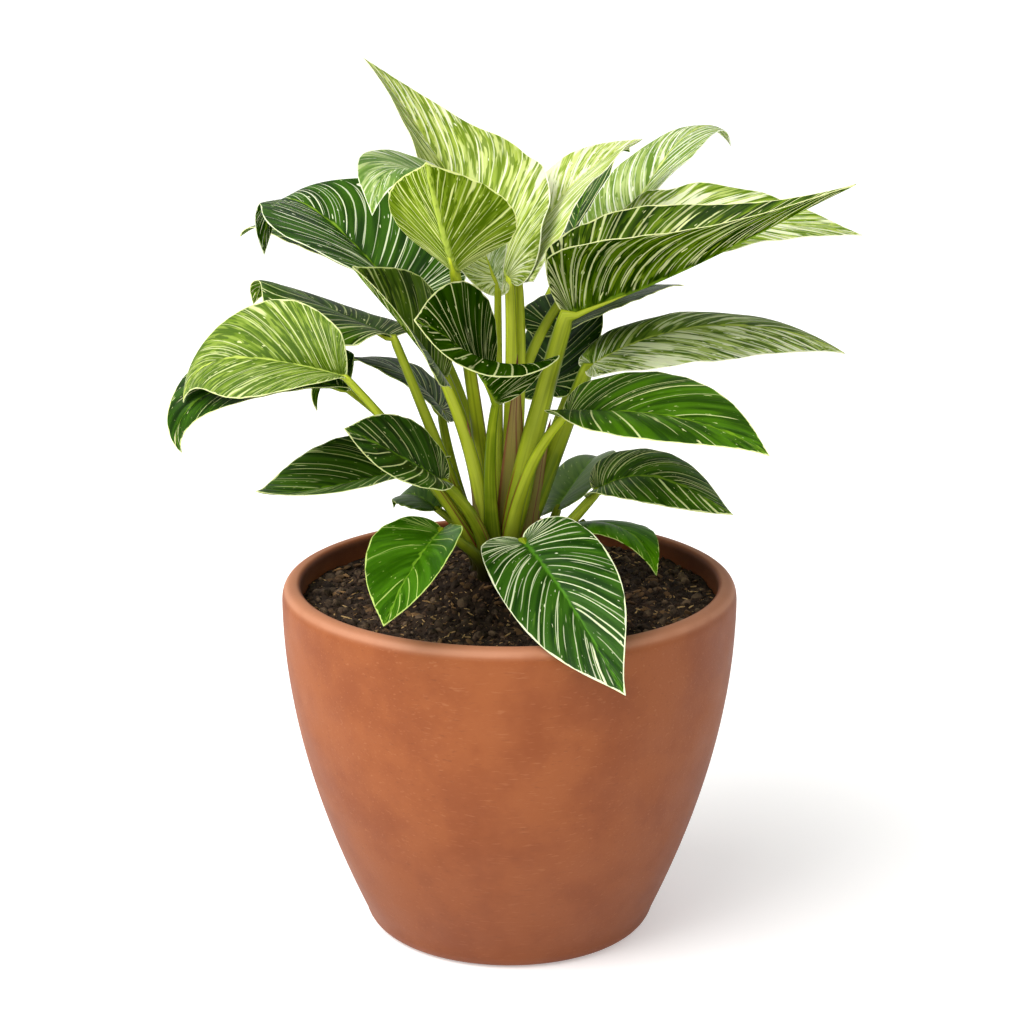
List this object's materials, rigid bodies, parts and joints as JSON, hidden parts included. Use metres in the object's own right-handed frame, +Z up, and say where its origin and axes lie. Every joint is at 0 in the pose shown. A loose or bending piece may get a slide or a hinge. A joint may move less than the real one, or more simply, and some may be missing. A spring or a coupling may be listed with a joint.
{
  "type": "potted plant",
  "caption": "Bushy variegated foliage plant with pinstriped leaves on long stalks, standing in soil in a round tapered terracotta pot with a rolled lip.",
  "frame": {"origin": "centre of the pot's flat underside", "axes": "+Z up along the pot's axis, +Y away from the front, +X to the right seen from the front"},
  "size_m": [0.3774, 0.3979, 0.4706],
  "materials": {
    "pot": "unglazed fired terracotta, matte, faintly mottled",
    "soil": "loose dark potting soil with bark chips",
    "stalks": "living stalk, smooth, slightly waxy",
    "pale_leaf": "living leaf, lime green with wide cream stripes",
    "plain_leaf": "living leaf, plain green, glossy",
    "striped_leaf": "living leaf, dark green with fine cream stripes, glossy"
  },
  "bodies": {
    "root": {"pot": "pot", "soil": "soil", "crown": "stalks", "leaf_crest": "pale_leaf", "leaf_hood": "pale_leaf", "leaf_drop": "striped_leaf", "leaf_heart": "pale_leaf", "leaf_sail": "pale_leaf", "leaf_shade": "striped_leaf", "leaf_lime": "pale_leaf", "leaf_channel": "striped_leaf", "leaf_tuck": "striped_leaf", "leaf_pale_right": "pale_leaf", "leaf_dark_right": "striped_leaf", "leaf_low_right": "striped_leaf", "leaf_plain_back": "plain_leaf", "leaf_plain_right": "plain_leaf", "leaf_back_right": "striped_leaf", "leaf_front": "striped_leaf", "leaf_front_left": "plain_leaf", "leaf_dark_left": "striped_leaf", "leaf_low_left": "striped_leaf", "leaf_small_left": "plain_leaf", "leaf_pale_left": "pale_leaf", "leaf_under_left": "striped_leaf", "leaf_mid_left": "striped_leaf", "leaf_back_left": "striped_leaf", "leaf_arch_left": "striped_leaf", "leaf_far_left": "striped_leaf", "leaf_fold_left": "striped_leaf", "leaf_centre": "striped_leaf"}
  },
  "joints": []
}
